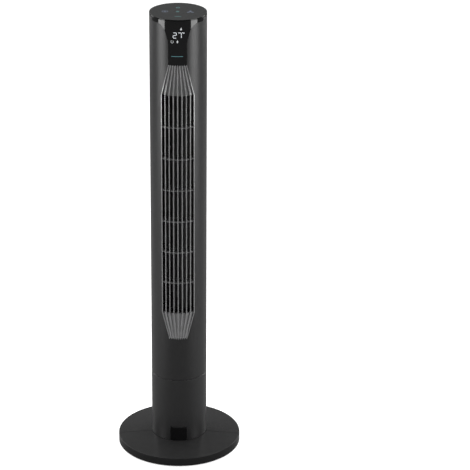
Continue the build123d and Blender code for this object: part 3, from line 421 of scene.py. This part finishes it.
def crossbar(mesh, z):
    """Thin level rib behind the fins' noses, rounded in front."""
    reach = math.asin((OUTLET_HALF - CROSSBAR_INSET) / CROSSBAR_FRONT_R)
    section = [(CROSSBAR_BACK_R, -CROSSBAR_HALF)]
    for step in range(NOSE_STEPS + 1):
        turn = math.pi * (step / NOSE_STEPS - 0.5)
        radius = CROSSBAR_FRONT_R - CROSSBAR_HALF * (1 - math.cos(turn))
        section.append((radius, CROSSBAR_HALF * math.sin(turn)))
    section.append((CROSSBAR_BACK_R, CROSSBAR_HALF))
    rings = []
    for step in range(CROSSBAR_COLUMNS + 1):
        turn = reach * (2 * step / CROSSBAR_COLUMNS - 1)
        rings.append([(r * math.sin(turn), -r * math.cos(turn), z + rise) for r, rise in section])
    loft(mesh, rings)


def add_piece(name, mesh, slot, body):
    """Turn a bmesh into a smooth-shaded piece that rides on a body."""
    bmesh.ops.recalc_face_normals(mesh, faces=mesh.faces)
    data = bpy.data.meshes.new(name)
    mesh.to_mesh(data)
    mesh.free()
    data.materials.append(MATERIALS[slot])
    data.shade_smooth()
    data.set_sharp_from_angle(angle=SMOOTH_BELOW)
    piece = bpy.data.objects.new(name, data)
    scene.collection.objects.link(piece)
    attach(piece, body)
    return piece


def outlet_grille():
    """Pale fins and ramps, with darker crossbars just behind the fins' noses."""
    fins = bmesh.new()
    for index in range(FIN_COUNT):
        fin(fins, index)
    ramp(fins, *LOWER_FLARE)
    ramp(fins, *UPPER_FLARE)
    bars = bmesh.new()
    for i in range(1, CROSSBAR_COUNT + 1):
        crossbar(bars, between(OUTLET_LOW, OUTLET_HIGH, i / (CROSSBAR_COUNT + 1)))
    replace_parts(add_piece("outlet_fins", fins, "grille_grey", "tower"), "front_grille")
    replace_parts(add_piece("outlet_crossbars", bars, "inner_black", "tower"), "front_grille")


outlet_grille()

# ---------------------------------------------------------------- floor and light
FLOOR_HALF = 30.0
FLOOR_SEEN = 0.62                 # paper's brightness to the camera
FLOOR_GLOW = 0.58                 # and what it adds of its own light there
FLOOR_BOUNCE = 0.22               # brightness of the paper to everything else
WHITE = (1, 1, 1)
DIM_IN_FRONT_OF_Y = -0.5          # the ambient light's rise from front to back, as a direction's Y
BRIGHT_BEHIND_Y = 0.4
# Softboxes: place, aim, width, height, power. The first two stand on both sides.
SIDE_BOX = ((1.95, -0.80, 0.80), (0, 0, 0.8), 1.1, 1.5, 30)
RIM_BOX = ((1.60, 1.30, 1.35), (0, 0, 0.6), 1.0, 1.6, 24)
OVERHEAD_BOX = ((0, 0.5, 4.5), (0, 0.5, 0), 6.0, 6.0, 220)


def studio_floor():
    """Pale paper floor; it throws less light on the object than it shows, like paper behind flags."""
    mesh = bpy.data.meshes.new("floor")
    corners = [(-FLOOR_HALF, -FLOOR_HALF, 0), (FLOOR_HALF, -FLOOR_HALF, 0),
               (FLOOR_HALF, FLOOR_HALF, 0), (-FLOOR_HALF, FLOOR_HALF, 0)]
    mesh.from_pydata(corners, [], [(0, 1, 2, 3)])
    floor = bpy.data.objects.new("floor", mesh)
    scene.collection.objects.link(floor)
    paper = Shader("floor_paper", Roughness=0.9, Specular_IOR_Level=0.0)
    pale = scaled(WHITE, FLOOR_SEEN)
    seen = paper.tint(paper.noise(0.8, 2), scaled(WHITE, FLOOR_SEEN * 0.98), pale)
    path = paper.node("ShaderNodeLightPath")
    mix = paper.node("ShaderNodeMix", data_type="RGBA")
    mix.inputs["A"].default_value = (*scaled(WHITE, FLOOR_BOUNCE), 1)
    paper.link(seen, mix.inputs["B"])
    paper.link(path.outputs["Is Camera Ray"], mix.inputs["Factor"])
    paper.feed("Base Color", mix.outputs["Result"])
    paper.principled.inputs["Emission Color"].default_value = (*WHITE, 1)
    paper.feed("Emission Strength", paper.maths("MULTIPLY", path.outputs["Is Camera Ray"], FLOOR_GLOW))
    mesh.materials.append(paper.material)


def softbox(name, place, target, width, height, power):
    """Rectangular area light at a place, facing its target."""
    light = bpy.data.lights.new(name, "AREA")
    light.shape = "RECTANGLE"
    light.size = width
    light.size_y = height
    light.energy = power
    thing = bpy.data.objects.new(name, light)
    scene.collection.objects.link(thing)
    thing.location = place
    aim = Vector(target) - Vector(place)
    thing.rotation_euler = aim.to_track_quat("-Z", "Y").to_euler()


def studio_world(front, back, flank, backdrop):
    """Ambient light: dim in front, brighter behind, brightest to both sides; pale where the camera looks."""
    world = bpy.data.worlds.new("studio")
    world.use_nodes = True
    scene.world = world
    tree = world.node_tree
    coordinates = tree.nodes.new("ShaderNodeTexCoord")
    split = tree.nodes.new("ShaderNodeSeparateXYZ")
    tree.links.new(coordinates.outputs["Generated"], split.inputs["Vector"])
    behind = tree.nodes.new("ShaderNodeMapRange")
    behind.interpolation_type = "SMOOTHSTEP"
    behind.inputs["From Min"].default_value = DIM_IN_FRONT_OF_Y
    behind.inputs["From Max"].default_value = BRIGHT_BEHIND_Y
    tree.links.new(split.outputs["Y"], behind.inputs["Value"])
    sideways = tree.nodes.new("ShaderNodeMath")
    sideways.operation = "ABSOLUTE"
    tree.links.new(split.outputs["X"], sideways.inputs[0])
    across = tree.nodes.new("ShaderNodeMapRange")
    across.inputs["To Min"].default_value = back - front
    across.inputs["To Max"].default_value = flank - front
    tree.links.new(sideways.outputs["Value"], across.inputs["Value"])
    ambient = tree.nodes.new("ShaderNodeMath")
    ambient.operation = "MULTIPLY_ADD"
    ambient.inputs[2].default_value = front
    tree.links.new(behind.outputs["Result"], ambient.inputs[0])
    tree.links.new(across.outputs["Result"], ambient.inputs[1])
    path = tree.nodes.new("ShaderNodeLightPath")
    mix = tree.nodes.new("ShaderNodeMix")
    mix.inputs["B"].default_value = backdrop
    tree.links.new(ambient.outputs["Value"], mix.inputs["A"])
    tree.links.new(path.outputs["Is Camera Ray"], mix.inputs["Factor"])
    tree.links.new(mix.outputs["Result"], tree.nodes["Background"].inputs["Color"])


studio_floor()
studio_world(front=0.05, back=0.35, flank=1.2, backdrop=1.0)
for kind, (place, *rest) in (("softbox", SIDE_BOX), ("rim", RIM_BOX)):
    softbox(f"{kind}_right", place, *rest)
    softbox(f"{kind}_left", (-place[0], *place[1:]), *rest)
softbox("overhead", *OVERHEAD_BOX)
